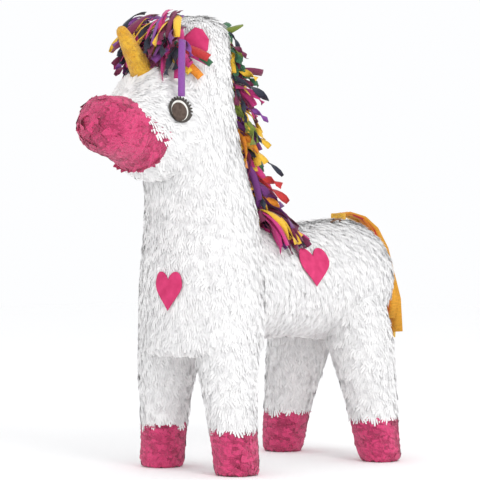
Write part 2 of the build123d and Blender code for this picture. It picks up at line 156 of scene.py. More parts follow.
class Finish:
    """A material and its node tree."""

    def __init__(self, name, roughness=0.85, **sockets):
        self.material = bpy.data.materials.new(name)
        self.material.use_nodes = True
        self.tree = self.material.node_tree
        self.shader = self.tree.nodes[SHADER_NODE]
        self.shader.inputs["Roughness"].default_value = roughness
        for socket, value in sockets.items():
            self.shader.inputs[socket.replace("_", " ")].default_value = value

    def node(self, kind, settings=None, sockets=None, output=0):
        made = self.tree.nodes.new(kind)
        for key, value in (settings or {}).items():
            if key == "stops":
                for stop, (place, colour) in zip(made.color_ramp.elements, value):
                    stop.position, stop.color = place, (*colour, 1)
            else:
                setattr(made, key, value)
        for key, value in (sockets or {}).items():
            if isinstance(value, Value):
                self.tree.links.new(value.socket, made.inputs[key])
            else:
                made.inputs[key].default_value = value
        return Value(self.tree, made.outputs[output])

    def feed(self, socket, value):
        self.tree.links.new(value.socket, self.shader.inputs[socket])

    def place(self, scale, source="Object"):
        where = self.node("ShaderNodeTexCoord", output=source)
        return self.node("ShaderNodeMapping", None, {"Vector": where, "Scale": scale})

    def noise(self, scale, detail=3.0, source="Object", distortion=0.0):
        sockets = {"Vector": self.place(scale, source), "Scale": 1.0, "Detail": detail}
        return self.node("ShaderNodeTexNoise", None, {**sockets, "Distortion": distortion})

    def bump(self, height, depth, strength=0.6):
        sockets = {"Height": height, "Distance": depth, "Strength": strength}
        self.feed("Normal", self.node("ShaderNodeBump", None, sockets))


print("each finish ends in the shader:", SHADER_NODE)

# %% [markdown]
# ## The papers
# Tissue is thin, white and matt, and looks greyer where the layers shade each other. Crepe paper is
# full of fine wrinkles across the strip. Each strip carries a `tone` from 0 to 1, so that no two have
# quite the same colour, and streamers carry their own `tint`. The finest wrinkles are noise in the
# shader, because meshing them would take far too many faces. The same noise that bumps the wrinkles,
# and the tissue's fibres, also darkens the colour in their hollows and lightens it on their ridges:
# this is painted shade and painted highlight.

# %% Tissue, crepe, card, board, wood and wire


def tone_attribute(finish):
    return finish.node("ShaderNodeAttribute", {"attribute_name": "tone"}, output="Fac")


def tissue_finish():
    finish = Finish("white_tissue", 0.9, Sheen_Weight=0.15, Subsurface_Weight=0.08)
    finish.shader.inputs["Subsurface Radius"].default_value = (0.004, 0.004, 0.004)
    fibres = finish.noise((420, 420, 160), 4)
    patch = finish.noise((26, 26, 26), 2)
    # Partly a random tone per slip and per patch, and partly painted shade: the fibre noise that bumps
    # the tissue also greys it in its hollows.
    shade = 0.4 * tone_attribute(finish) + 0.3 * patch + 0.4 * fibres
    stops = [(0.2, (0.70, 0.695, 0.70)), (0.68, (0.90, 0.895, 0.89))]
    colour = finish.node("ShaderNodeValToRGB", {"stops": stops}, {"Fac": shade})
    finish.feed("Base Color", colour)
    finish.bump(fibres, 0.0006, 0.5)
    return finish.material


def crepe_finish(name, dark, light, mid=0.5):
    finish = Finish(name, 0.78, Sheen_Weight=0.2)
    wrinkle = finish.noise((150, 150, 150), 4, distortion=3.0)
    patch = finish.noise((55, 55, 55), 3)
    # Partly a random tone per scrap and per patch, and partly painted shade and highlight: the wrinkle
    # noise that bumps the crepe also darkens its creases and lightens its ridges.
    shade = 0.35 * tone_attribute(finish) + 0.35 * patch + 0.5 * wrinkle
    stops = [(mid - 0.17, dark), (mid + 0.2, light)]
    finish.feed("Base Color", finish.node("ShaderNodeValToRGB", {"stops": stops}, {"Fac": shade}))
    finish.bump(wrinkle, 0.0035, 1.0)
    return finish.material


def streamer_finish():
    finish = Finish("mixed_crepe", 0.72, Sheen_Weight=0.2)
    wrinkle = finish.noise((3, 9, 1), 3, "UV", 0.5)
    tint = finish.node("ShaderNodeAttribute", {"attribute_name": "tint"}, output="Color")
    # Painted shade and highlight: the wrinkle noise that bumps the streamer also darkens its creases
    # and lightens its ridges, and is multiplied into its tint.
    shade = 0.62 + 0.62 * wrinkle
    painted_wrinkle_shading = finish.node("ShaderNodeCombineColor", None, {"Red": shade, "Green": shade, "Blue": shade})
    mix = finish.node(
        "ShaderNodeMix",
        {"data_type": "RGBA", "blend_type": "MULTIPLY"},
        {0: 1.0, 6: tint, 7: painted_wrinkle_shading},
        output=2,
    )
    finish.feed("Base Color", mix)
    finish.bump(wrinkle, 0.0010, 0.7)
    return finish.material


def card_finish(name, dark, light, grain=90, roughness=0.85):
    finish = Finish(name, roughness)
    patch = finish.noise((grain, grain, grain), 4)
    stops = [(0.3, dark), (0.7, light)]
    finish.feed("Base Color", finish.node("ShaderNodeValToRGB", {"stops": stops}, {"Fac": patch}))
    finish.bump(finish.noise((900, 900, 900), 2), 0.0002, 0.5)
    return finish.material


tissue = tissue_finish()
magenta = crepe_finish("magenta_crepe", (0.27, 0.003, 0.05), (0.74, 0.05, 0.19))
yellow = crepe_finish("yellow_crepe", (0.72, 0.34, 0.01), (1.0, 0.66, 0.06))
streamers = streamer_finish()
pink_paper = card_finish("pink_paper", (0.52, 0.018, 0.11), (0.68, 0.04, 0.17), 90)
felt = card_finish("brown_felt", (0.055, 0.036, 0.028), (0.12, 0.083, 0.066), 220, 0.95)
lash_card = card_finish("lash_card", (0.045, 0.04, 0.036), (0.085, 0.075, 0.066), 160, 0.9)
white_card = card_finish("white_card", (0.84, 0.82, 0.75), (0.93, 0.92, 0.87), 60)
board = card_finish("kraft_cardboard", (0.36, 0.22, 0.11), (0.47, 0.31, 0.17), 120)
wood = card_finish("wood_dowel", (0.50, 0.33, 0.17), (0.66, 0.47, 0.28), 60, 0.6)
wire = card_finish("brown_wire", (0.13, 0.06, 0.03), (0.25, 0.13, 0.07), 300, 0.7)


def finish_node(node, material):
    nodes[node].data.materials.clear()
    nodes[node].data.materials.append(material)


SLOT_FINISH = {
    "kraft_cardboard": board,
    "white_tissue": tissue,
    "magenta_crepe": magenta,
    "yellow_crepe": yellow,
    "orange_crepe": yellow,
    "mixed_crepe": streamers,
    "pink_paper": pink_paper,
    "brown_felt": felt,
    "white_card": white_card,
    "wood_dowel": wood,
    "brown_wire": wire,
}
for part in frame["record"]["subparts"]:
    finish_node(part["node"], SLOT_FINISH[part["material_slot"]])
print("materials:", len(bpy.data.materials))

# %% [markdown]
# ## Skins to glue paper to
# Paper is glued to the outer face of each skin only. A copy of the node is merged, its inner faces are
# taken off, and long edges are split, so that each small face can say which way its paper lies
# (`comb`) and how much of it there is (`cover`). Paper could be scattered over the whole node, but
# then much of it would grow into the cardboard.

# %% Copy the outer face of a skin
MESH_STEP = 9 * MM
SEAM = 0.02 * MM
OUTWARD = 0.3


def outer_face(node, axis_point):
    """A bmesh of the faces of a node that look away from a line through its middle."""
    mesh = bmesh.new()
    mesh.from_mesh(nodes[node].data)
    bmesh.ops.remove_doubles(mesh, verts=mesh.verts, dist=SEAM)
    inner = []
    for face in mesh.faces:
        centre = face.calc_center_median()
        if face.normal.dot((centre - axis_point(centre)).normalized()) < OUTWARD:
            inner.append(face)
    bmesh.ops.delete(mesh, geom=inner, context="FACES")
    for _ in range(8):
        long_edges = [e for e in mesh.edges if e.calc_length() > MESH_STEP]
        if not long_edges:
            break
        bmesh.ops.subdivide_edges(mesh, edges=long_edges, cuts=1)
        bmesh.ops.triangulate(mesh, faces=[f for f in mesh.faces if len(f.verts) > 3])
    mesh.normal_update()
    return mesh


def comb_skin(name, mesh, comb, cover):
    """Stores how paper lies at each point, and makes the skin an object."""
    direction = mesh.verts.layers.float_vector.new("comb")
    amount = mesh.verts.layers.float.new("cover")
    for vert in mesh.verts:
        vert[direction] = comb(vert.co, vert.normal)
        vert[amount] = cover(vert.co, vert.normal)
    data = bpy.data.meshes.new(name)
    mesh.to_mesh(data)
    thing = bpy.data.objects.new(name, data)
    scene.collection.objects.link(thing)
    return thing


barrel_middle = middle("barrel_fringe")
RUMP_CENTRE_Y = 0.150
HEAD_AXIS_Z = 0.404
NOSE_CENTRE_Y = -0.225
HIP_X, HIP_Z = 0.042, 0.20
NECK_Y, NECK_LEAN = -0.079, 0.025
NECK_FOOT_Z, NECK_RISE = 0.26, 0.14
CHEST_Z, POLL_Z = 0.17, 0.49


def neck_axis(point):
    """The neck's middle line leans forward as it rises."""
    rise = min(max((point.z - NECK_FOOT_Z) / NECK_RISE, 0), 1)
    return Vector((0, NECK_Y - NECK_LEAN * rise, min(max(point.z, CHEST_Z), POLL_Z)))


def barrel_axis(point):
    return Vector((0, min(point.y, RUMP_CENTRE_Y), barrel_middle.z))


def head_axis(point):
    return Vector((0, max(point.y, NOSE_CENTRE_Y), HEAD_AXIS_Z))


def leg_axis(node):
    """A straight line from the hoof's middle up into the body."""
    hoof = middle(node.replace("leg_fringe", "hoof_wrap"))
    hip = Vector((math.copysign(HIP_X, hoof.x), hoof.y, HIP_Z))

    def axis(point):
        return hoof.lerp(hip, (point.z - hoof.z) / (hip.z - hoof.z))

    return axis


print("middle line of the barrel at height", round(barrel_middle.z, 3))

# %% [markdown]
# ## Paper pieces
# A tuft is a slip of tissue cut into three fingers and glued at its root; a flake is a torn scrap of
# crepe glued at its middle. Both lie along +Y at the origin, so that the node tree can turn them.
# Each is modelled once, and the tree makes every other one by turning and scaling it.

# %% A tuft of fringe and a flake of crepe


def sheet_mesh(name, rows, material):
    """Quads between rows of points, with a UV map across and along the sheet."""
    mesh = bmesh.new()
    uv = mesh.loops.layers.uv.new("UVMap")
    for strip in rows:
        lines = [[mesh.verts.new(p) for p in line] for line in strip]
        for i in range(len(lines) - 1):
            for j in range(len(lines[i]) - 1):
                corners = [(i, j), (i, j + 1), (i + 1, j + 1), (i + 1, j)]
                face = mesh.faces.new([lines[a][b] for a, b in corners])
                face.smooth = True
                for loop, (a, b) in zip(face.loops, corners):
                    loop[uv].uv = (b / (len(lines[i]) - 1), a / (len(lines) - 1))
    data = bpy.data.meshes.new(name)
    mesh.to_mesh(data)
    data.materials.append(material)
    thing = bpy.data.objects.new(name, data)
    scene.collection.objects.link(thing)
    return thing


def finger(x0, x1, length, lift, sway):
    """One finger of fringe: it leaves the skin, arches and tips over."""
    line = []
    for step, rise in ((0, 0.1), (0.4, 0.8), (0.75, 1.0), (1.0, 0.7)):
        narrow = 1 - 0.45 * step**3
        shift = sway * step**2
        mid, half = (x0 + x1) / 2 + shift, (x1 - x0) / 2 * narrow
        y, z = step * length, rise * lift
        line.append([(mid - half, y, z), (mid + half, y, z)])
    return line


TUFT_W, TUFT_L = 6.4 * MM, 10.5 * MM
tuft = sheet_mesh(
    "tuft",
    [
        finger(-TUFT_W / 2, -TUFT_W / 5, 0.85 * TUFT_L, 0.6 * MM, -0.7 * MM),
        finger(-TUFT_W / 5, TUFT_W / 5, TUFT_L, 0.9 * MM, 0.3 * MM),
        finger(TUFT_W / 5, TUFT_W / 2, 0.75 * TUFT_L, 0.7 * MM, 0.8 * MM),
    ],
    tissue,
)


def flake_lines(width, length, lift, curl):
    """A scrap of crepe, glued at its middle, bent to the skin's curve and puckered."""
    lines = []
    for index, step in enumerate((-1, -0.62, -0.3, 0.0, 0.34, 0.66, 1.0)):
        line = []
        for across in (-1, -0.5, 0.05, 0.5, 1):
            ragged = 1 - 0.12 * (index % 2) * abs(across)
            x, y = across * width / 2 * ragged, step * length / 2 * (1 - 0.1 * across**2)
            pucker = lift * math.cos(3.1 * across + 1.9 * step)
            line.append((x, y, 0.9 * MM + pucker - (x * x + y * y) / (2 * curl)))
        lines.append(line)
    return lines


flake = sheet_mesh("flake", [flake_lines(11 * MM, 26 * MM, 0.35 * MM, 50 * MM)], magenta)
print("tuft faces:", len(tuft.data.polygons), "flake faces:", len(flake.data.polygons))

# %% [markdown]
# ## Geometry Nodes glue the paper on
# One tree does it all: it scatters roots over the skin, no closer than a spacing, stands a paper piece
# on each, turns it along `comb`, then tilts, swings and scales it at random from a fixed seed. The
# tree ends in Realize Instances and Set Material, so the result is plain mesh. A loop in Python could
# place them too, but the tree spreads thousands of roots evenly in a moment.

# %% The covering tree


def covering_tree():
    tree = bpy.data.node_groups.new("glue_paper", "GeometryNodeTree")
    faces = tree.interface
    faces.new_socket("Skin", in_out="INPUT", socket_type="NodeSocketGeometry")
    faces.new_socket("Paper", in_out="INPUT", socket_type="NodeSocketObject")
    for name in ("Spacing", "Tilt", "Swing", "Smallest", "Largest"):
        faces.new_socket(name, in_out="INPUT", socket_type="NodeSocketFloat")
    faces.new_socket("Seed", in_out="INPUT", socket_type="NodeSocketInt")
    faces.new_socket("Finish", in_out="INPUT", socket_type="NodeSocketMaterial")
    faces.new_socket("Paper", in_out="OUTPUT", socket_type="NodeSocketGeometry")

    def node(kind, settings=None, sockets=None):
        made = tree.nodes.new(kind)
        for key, value in (settings or {}).items():
            setattr(made, key, value)
        for key, value in (sockets or {}).items():
            if isinstance(value, bpy.types.NodeSocket):
                tree.links.new(value, made.inputs[key])
            else:
                made.inputs[key].default_value = value
        return made

    given = node("NodeGroupInput").outputs
    cover = node("GeometryNodeInputNamedAttribute", {"data_type": "FLOAT"}, {"Name": "cover"})
    comb = node("GeometryNodeInputNamedAttribute", {"data_type": "FLOAT_VECTOR"}, {"Name": "comb"})
    roots = node(
        "GeometryNodeDistributePointsOnFaces",
        {"distribute_method": "POISSON"},
        {
            "Mesh": given["Skin"],
            "Distance Min": given["Spacing"],
            "Density Max": 400000.0,
            "Density Factor": cover.outputs["Attribute"],
            "Seed": given["Seed"],
        },
    ).outputs
    along = node(
        "FunctionNodeAlignRotationToVector",
        {"axis": "Y", "pivot_axis": "Z"},
        {"Rotation": roots["Rotation"], "Vector": comb.outputs["Attribute"]},
    )

    def spread(low, high, shift):
        seed = node("ShaderNodeMath", {"operation": "ADD"}, {0: given["Seed"], 1: shift})
        made = node(
            "FunctionNodeRandomValue",
            {"data_type": "FLOAT"},
            {2: low, 3: high, "Seed": seed.outputs[0]},
        )
        return made.outputs[1]

    def times(first, second):
        return node("ShaderNodeMath", {"operation": "MULTIPLY"}, {0: first, 1: second}).outputs[0]

    turn = node(
        "ShaderNodeCombineXYZ",
        None,
        {
            "X": times(spread(-0.15, 1.0, 11.0), given["Tilt"]),
            "Y": times(spread(-0.4, 0.4, 23.0), given["Tilt"]),
            "Z": times(spread(-1.0, 1.0, 37.0), given["Swing"]),
        },
    )
    euler = node("FunctionNodeEulerToRotation", None, {0: turn.outputs[0]})
    turned = node(
        "FunctionNodeRotateRotation",
        {"rotation_space": "LOCAL"},
        {"Rotation": along.outputs[0], "Rotate By": euler.outputs[0]},
    )
    size = spread(given["Smallest"], given["Largest"], 53.0)
    paper = node("GeometryNodeObjectInfo", None, {"Object": given["Paper"]})
    glued = node(
        "GeometryNodeInstanceOnPoints",
        None,
        {
            "Points": roots["Points"],
            "Instance": paper.outputs["Geometry"],
            "Rotation": turned.outputs[0],
            "Scale": size,
        },
    )
    toned = node(
        "GeometryNodeStoreNamedAttribute",
        {"data_type": "FLOAT", "domain": "INSTANCE"},
        {"Geometry": glued.outputs[0], "Name": "tone", "Value": spread(0.0, 1.0, 71.0)},
    )
    real = node("GeometryNodeRealizeInstances", None, {0: toned.outputs[0]})
    made = node(
        "GeometryNodeSetMaterial", None, {"Geometry": real.outputs[0], "Material": given["Finish"]}
    )
    out = node("NodeGroupOutput")
    tree.links.new(made.outputs[0], out.inputs[0])
    return tree


glue_paper = covering_tree()
print("nodes in the covering tree:", len(glue_paper.nodes))
FLOOR_CLEARANCE = 0.2 * MM


def cover_with(name, skin, body, **sizes):
    """Runs the tree on a skin, and keeps the result as a plain mesh that rides on a body."""
    modifier = skin.modifiers.new("glue", "NODES")
    modifier.node_group = glue_paper
    for item in glue_paper.interface.items_tree:
        if item.in_out == "INPUT" and item.name in sizes:
            modifier[item.identifier] = sizes[item.name]
    evaluated = skin.evaluated_get(bpy.context.evaluated_depsgraph_get())
    data = bpy.data.meshes.new_from_object(evaluated)
    data.name = name
    for vert in data.vertices:
        vert.co.z = max(vert.co.z, FLOOR_CLEARANCE)
    thing = bpy.data.objects.new(name, data)
    scene.collection.objects.link(thing)
    bpy.data.objects.remove(skin)
    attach(thing, body)
    print(name, "triangles:", sum(len(p.vertices) - 2 for p in data.polygons))
    return thing


# %% [markdown]
# ## White fringe
# The maker works from the hooves up, so every slip hangs down over the one before. Real fringe is cut
# along the edge of a long strip; single tufts are used here because they follow any curve. Hearts,
# eyes and the ears' feet are glued on last: the fringe under them is left out, so that they lie flat.

# %% Fringe on every white skin
FLAT_SPOTS = {
    "chest_heart": 1.0,
    "left_flank_heart": 1.0,
    "right_flank_heart": 1.0,
    "left_eye_lashes": 1.0,
    "right_eye_lashes": 1.0,
    "left_ear": 4.0,
    "right_ear": 4.0,
    "horn_wrap": 2.0,
    "muzzle_wrap": 1.0,
}


def surface_tree(node):
    mesh = bmesh.new()
    mesh.from_mesh(nodes[node].data)
    return BVHTree.FromBMesh(mesh)


flat_spots = [(surface_tree(node), reach * MM) for node, reach in FLAT_SPOTS.items()]


def bare(point):
    """0 under a piece that is glued on flat, 1 where fringe grows."""
    for tree, reach in flat_spots:
        if tree.find_nearest(point, reach)[0] is not None:
            return 0.0
    return 1.0


def fringe_comb(point, normal):
    """Down the surface, and down both flanks from the ridge of the back."""
    sideways = 0.35 * math.copysign(1, point.x) * max(normal.z, 0)
    return Vector((sideways, 0, -1))


def head_comb(point, normal):
    """Back from the muzzle, and down the cheeks."""
    return Vector((0, 1.1, -0.8))


def skin_cover(point, normal):
    return bare(point)


HOOF_MARGIN = 7 * MM
hoof_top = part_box("front_left_hoof_wrap")[1].z


def leg_cover(point, normal):
    """The lowest slips of a leg end where the hoof's crepe begins."""
    return bare(point) if point.z > hoof_top + HOOF_MARGIN else 0.0


FRINGE = dict(Paper=tuft, Spacing=3.2 * MM, Tilt=0.2, Swing=0.7, Smallest=0.75, Largest=1.2)
fringes = {
    "barrel_fringe": (barrel_axis, "figure", 1),
    "flap_fringe": (barrel_axis, "flap", 2),
    "chest_neck_fringe": (neck_axis, "figure", 3),
    "head_fringe": (head_axis, "figure", 4),
}
for node in sorted(nodes):
    if node.endswith("leg_fringe"):
        fringes[node] = (leg_axis(node), "figure", 5 + len(fringes))
outer_shells = []
for node, (axis, body, seed) in fringes.items():
    mesh = outer_face(node, axis)
    outer_shells.append(mesh.copy())
    comb = head_comb if node == "head_fringe" else fringe_comb
    cover = leg_cover if node.endswith("leg_fringe") else skin_cover
    skin = comb_skin(node + "_skin", mesh, comb, cover)
    piece = cover_with(node + "_slips", skin, body, Seed=seed, Finish=tissue, **FRINGE)

# %% [markdown]
# ## Crepe on the muzzle and hooves
# Scraps of crepe are pasted round the muzzle in rings, and round each hoof on the slant. Their free
# edges make the torn back edge of the muzzle and the ragged top of each hoof. One wrapped sheet would
# need pleats at every curve, and overlapping scraps give much the same look.

# %% Crepe flakes
NOSE_TIP_Y = -0.246
SOLE_EDGE = 4 * MM


def muzzle_comb(point, normal):
    """Rings round the muzzle that swirl towards its nose; the nose's own face runs across."""
    around = normal.cross(Vector((0, 1, 0)))
    if point.y < NOSE_TIP_Y:
        return Vector((1, 0, 0.6))
    swirl = math.sin(45 * point.z + 30 * point.x) * (1 - math.exp((point.y + 0.185) / 0.02))
    return around + Vector((0, 0.6 * swirl, 0.2))


def hoof_comb(point, normal):
    """Round the hoof, on the slant."""
    return normal.cross(Vector((0, 0, 1))) + Vector((0, 0, 0.55))


def full_cover(point, normal):
    return 1.0


def above_the_sole(point, normal):
    return 1.0 if point.z > SOLE_EDGE else 0.0


mesh = outer_face("muzzle_wrap", head_axis)
outer_shells.append(mesh.copy())
skin = comb_skin("muzzle_skin", mesh, muzzle_comb, full_cover)
piece = cover_with(
    "muzzle_crepe", skin, "figure", Paper=flake, Finish=magenta, Seed=21,
    Spacing=4.2 * MM, Tilt=0.06, Swing=0.7, Smallest=0.6, Largest=1.1,
)
for index, node in enumerate(n for n in sorted(nodes) if n.endswith("hoof_wrap")):
    hoof = middle(node)
    mesh = outer_face(node, lambda point: Vector((hoof.x, hoof.y, 0.012 + 0.5 * point.z)))
    outer_shells.append(mesh.copy())
    skin = comb_skin(node + "_skin", mesh, hoof_comb, above_the_sole)
    piece = cover_with(
        node + "_crepe", skin, "figure", Paper=flake, Finish=magenta, Seed=31 + index,
        Spacing=4.0 * MM, Tilt=0.07, Swing=0.5, Smallest=0.5, Largest=0.8,
    )
bpy.data.objects.remove(tuft)
bpy.data.objects.remove(flake)

# %% [markdown]
# ## Streamers
# A streamer is a limp ribbon of crepe. Its line is walked out from its root, a short step at a time:
# each step it droops a little, curls a little, and is pushed back out wherever it would enter the
# figure. The ribbon is then thickened, so that it is a real sheet and not a single face. A cloth
# simulation could drape it, but this walk is quick and gives the same result each run.

# %% Walk a ribbon out from the skin
figure_skin = bmesh.new()
for shell in outer_shells:
    scrap = bpy.data.meshes.new("scrap")
    shell.to_mesh(scrap)
    figure_skin.from_mesh(scrap)
    bpy.data.meshes.remove(scrap)
figure_tree = BVHTree.FromBMesh(figure_skin)
print("faces that streamers lie on:", len(figure_skin.faces))

PALETTE = {
    "wine": (0.19, 0.014, 0.07),
    "purple": (0.17, 0.025, 0.20),
    "violet": (0.25, 0.06, 0.34),
    "magenta": (0.62, 0.03, 0.22),
    "red": (0.60, 0.03, 0.03),
    "orange": (0.90, 0.30, 0.015),
    "amber": (0.78, 0.36, 0.02),
    "yellow": (0.92, 0.55, 0.035),
    "green": (0.03, 0.14, 0.06),
    "olive": (0.20, 0.26, 0.03),
    "navy": (0.02, 0.025, 0.05),
}


def clear_of_figure(point, gap):
    """The point itself, or the nearest one that is a gap outside the paper skin."""
    near, normal, _, _ = figure_tree.find_nearest(point)
    depth = (point - near).dot(normal)
    if depth < gap:
        return point + normal * (gap - depth)
    return point


def walk(root, out, length, droop, curl, draw, steps=10, gap=2.5 * MM):
    """The points of a streamer's middle line."""
    heading = out.normalized()
    side = Vector((draw.uniform(-1, 1), draw.uniform(-1, 1), draw.uniform(-0.3, 1)))
    stride = length / steps
    points = [root]
    for step in range(steps):
        heading = heading + Vector((0, 0, -droop / steps)) + side * (curl / steps)
        heading.normalize()
        points.append(clear_of_figure(points[-1] + heading * stride, gap))
    return points


def ribbon(mesh, layers, points, width, across, colour, twist=0.0, taper=0.15, gather=0.0):
    """Adds a ribbon along points; across is its width direction at the root."""
    uv, tint = layers
    lines = []
    count = len(points) - 1
    for index, point in enumerate(points):
        ahead = (points[min(index + 1, count)] - points[max(index - 1, 0)]).normalized()
        flat = (across - ahead * across.dot(ahead)).normalized()
        flat.rotate(Matrix.Rotation(twist * index / count, 3, ahead))
        gathered = 1 - gather * (1 - min(1, 2.5 * index / count))
        half = flat * (width / 2 * gathered * (1 - taper * (index / count) ** 3))
        bow = ahead.cross(flat) * (0.12 * width)
        lines.append([mesh.verts.new(p) for p in (point - half, point + bow, point + half)])
        across = flat
    length = sum((b - a).length for a, b in zip(points, points[1:]))
    for i in range(count):
        for j in range(2):
            corners = [(i, j), (i, j + 1), (i + 1, j + 1), (i + 1, j)]
            face = mesh.faces.new([lines[a][b] for a, b in corners])
            face.smooth = True
            for loop, (a, b) in zip(face.loops, corners):
                loop[uv].uv = (b / 2, a / count * length / width)
                loop[tint] = (*PALETTE[colour], 1)


def new_bundle():
    mesh = bmesh.new()
    uv = mesh.loops.layers.uv.new("UVMap")
    tint = mesh.loops.layers.float_color.new("tint")
    return mesh, (uv, tint)


PAPER = 0.35 * MM


def tie_bundle(name, mesh, replaced):
    """Makes a bundle an object with real paper thickness, and lets it stand for its node."""
    data = bpy.data.meshes.new(name)
    mesh.to_mesh(data)
    data.materials.append(streamers)
    thing = bpy.data.objects.new(name, data)
    scene.collection.objects.link(thing)
    thicken = thing.modifiers.new("paper", "SOLIDIFY")
    thicken.thickness, thicken.offset = PAPER, 0
    plain = bpy.data.meshes.new_from_object(thing.evaluated_get(bpy.context.evaluated_depsgraph_get()))
    thing.modifiers.clear()
    thing.data = plain
    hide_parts(replaced)
    print(name, "triangles:", sum(len(p.vertices) - 2 for p in plain.polygons))
    return thing


# %% [markdown]
# ## Mane
# Short streamers are glued along a strip from the poll to the withers, in bands of colour. They
# stick out to both sides, and get longer lower down. Each starts at a point found on the nape.

# %% Mane down the neck
draw = random.Random(7)
strip_low, strip_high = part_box("mane_strip")
ROOT_ROWS, ROOT_COLUMNS = 40, 8
mane, layers = new_bundle()


def nape(height):
    """A point of the nape at a height, found on the skin."""
    hit = figure_tree.ray_cast(Vector((0, 0.2, height)), Vector((0, -1, 0)))[0]
    return hit if hit else Vector((0, -0.05, height))


DARK = ["wine", "wine", "purple", "wine", "navy", "magenta", "purple"]
MANE_BANDS = [
    ["navy", "green", "wine", "yellow", "olive"],
    ["green", "yellow", "orange", "wine"],
    DARK,
    ["purple", "violet", "yellow", "wine", "olive"],
    ["yellow", "orange", "yellow", "green", "navy"],
    DARK,
    ["yellow", "green", "red", "orange", "wine"],
    DARK,
]
for row in range(ROOT_ROWS):
    share = row / (ROOT_ROWS - 1)
    height = strip_high.z - 2 * MM - share * (strip_high.z - strip_low.z - 6 * MM)
    band = MANE_BANDS[min(int(share * len(MANE_BANDS)), len(MANE_BANDS) - 1)]
    for column in range(ROOT_COLUMNS):
        x = (-12 + 4.0 * column + draw.uniform(-2, 2)) * MM
        root = nape(height + draw.uniform(-4, 4) * MM) + Vector((x, 0, 0))
        root = clear_of_figure(root, 1.5 * MM)
        out = Vector((draw.uniform(-0.6, 1.6), draw.uniform(0.4, 1.1), draw.uniform(-0.5, 0.5)))
        length = draw.uniform(38, 60) * MM * (0.55 + 0.45 * min(1, 5 * share) + 0.3 * share)
        points = walk(root, out, length, draw.uniform(1.0, 3.4), draw.uniform(-1.6, 1.6), draw)
        across = Vector((draw.uniform(-0.6, 0.6), draw.uniform(-0.3, 0.3), 1))
        ribbon(mane, layers, points, draw.uniform(6.5, 10.5) * MM, across, draw.choice(band),
               draw.uniform(-1.5, 1.5))
piece = tie_bundle("mane_crest_paper", mane, "mane_crest_streamers")
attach(piece, "figure")

# %% [markdown]
# ## Mane over the withers
# The last streamers lie over the withers and the left shoulder. They start in one bunch and are
# walked like the others. Any that would lie where the front loop stands up is left out.

# %% Mane over the withers
draw = random.Random(11)
drape, layers = new_bundle()
loop_low, loop_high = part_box("front_hanger_loop")
LOOP_ROOM = 8 * MM
DRAPE_STREAMERS = 120
WITHERS_Z = 0.306


def under_the_loop(point):
    """True where a streamer would lie in the way of the front loop as it stands up."""
    beside = loop_low.y - LOOP_ROOM < point.y < loop_high.y + LOOP_ROOM
    return beside and loop_low.x - LOOP_ROOM < point.x < 2 * LOOP_ROOM


DRAPE_MIX = ["wine", "wine", "wine", "magenta", "purple", "wine", "navy", "yellow", "magenta"]
for index in range(DRAPE_STREAMERS):
    root = Vector((draw.uniform(-10, 26) * MM, draw.uniform(-26, 2) * MM, WITHERS_Z))
    root = clear_of_figure(root, draw.uniform(2, 9) * MM)
    out = Vector((draw.uniform(0.1, 1.5), draw.uniform(0.1, 1.3), draw.uniform(-0.1, 0.35)))
    points = walk(root, out, draw.uniform(46, 80) * MM, 1.9, draw.uniform(-0.6, 0.6), draw,
                  gap=draw.uniform(2.5, 9) * MM)
    if any(under_the_loop(point) for point in points):
        continue
    across = Vector((-out.y, out.x, draw.uniform(-0.2, 0.8)))
    ribbon(drape, layers, points, draw.uniform(6, 9.5) * MM, across, draw.choice(DRAPE_MIX),
           draw.uniform(-0.7, 0.7))
piece = tie_bundle("mane_drape_paper", drape, "mane_drape_streamers")
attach(piece, "figure")

# %% [markdown]
# ## Forelock
# A mop of longer streamers is tied on top of the head, between the horn and the ears. It tumbles
# forward round the horn, and one violet streamer hangs down to the left eye.

# %% Forelock
draw = random.Random(3)
forelock, layers = new_bundle()
FORELOCK_STREAMERS = 120
TOP_MIX = ["magenta", "wine", "magenta", "navy", "purple", "yellow", "wine", "magenta", "violet"]
POLL = Vector((0, -0.103, 0.505))
for index in range(FORELOCK_STREAMERS):
    round_head = math.radians(draw.uniform(-46, 115))
    facing = Vector((-math.sin(round_head), -math.cos(round_head), 0))
    height = draw.uniform(0.484, 0.536)
    root = clear_of_figure(Vector((POLL.x, POLL.y, height)) + facing * 0.050, 2 * MM)
    out = facing + Vector((draw.uniform(-0.6, 0.6), draw.uniform(-0.6, 0.2), draw.uniform(-0.5, 0.55)))
    points = walk(root, out, draw.uniform(34, 56) * MM, draw.uniform(1.2, 3.0),
                  draw.uniform(-1.2, 1.2), draw, gap=draw.uniform(2, 8) * MM)
    across = Vector((-out.y, out.x, draw.uniform(-0.7, 0.7)))
    ribbon(forelock, layers, points, draw.uniform(6.5, 10) * MM, across, draw.choice(TOP_MIX),
           draw.uniform(-1.2, 1.2))
for colour in ("magenta", "magenta", "yellow", "wine", "orange", "green", "red"):
    root = Vector((draw.uniform(5, 28) * MM, draw.uniform(-160, -140) * MM, draw.uniform(0.478, 0.50)))
    root = clear_of_figure(root, 7 * MM)
    points = walk(root, Vector((0.9, 0.35, draw.uniform(-0.5, -0.1))), draw.uniform(44, 64) * MM,
                  0.5, draw.uniform(-0.4, 0.4), draw, gap=draw.uniform(5, 9) * MM)
    ribbon(forelock, layers, points, draw.uniform(8, 11) * MM, Vector((0, 0.3, 1)), colour)
eye_low, eye_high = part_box("left_eye_iris")
brow = Vector((eye_high.x, (eye_low.y + eye_high.y) / 2 + 6 * MM, 0.500))
brow = clear_of_figure(brow, 4 * MM)
points = walk(brow, Vector((0.3, -0.35, -1)), 66 * MM, 3.0, 0.0, draw, gap=5 * MM)
ribbon(forelock, layers, points, 8.5 * MM, Vector((0.4, 1, 0)), "violet", 0.0, 0.0)
piece = tie_bundle("forelock_paper", forelock, "forelock_streamers")
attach(piece, "figure")

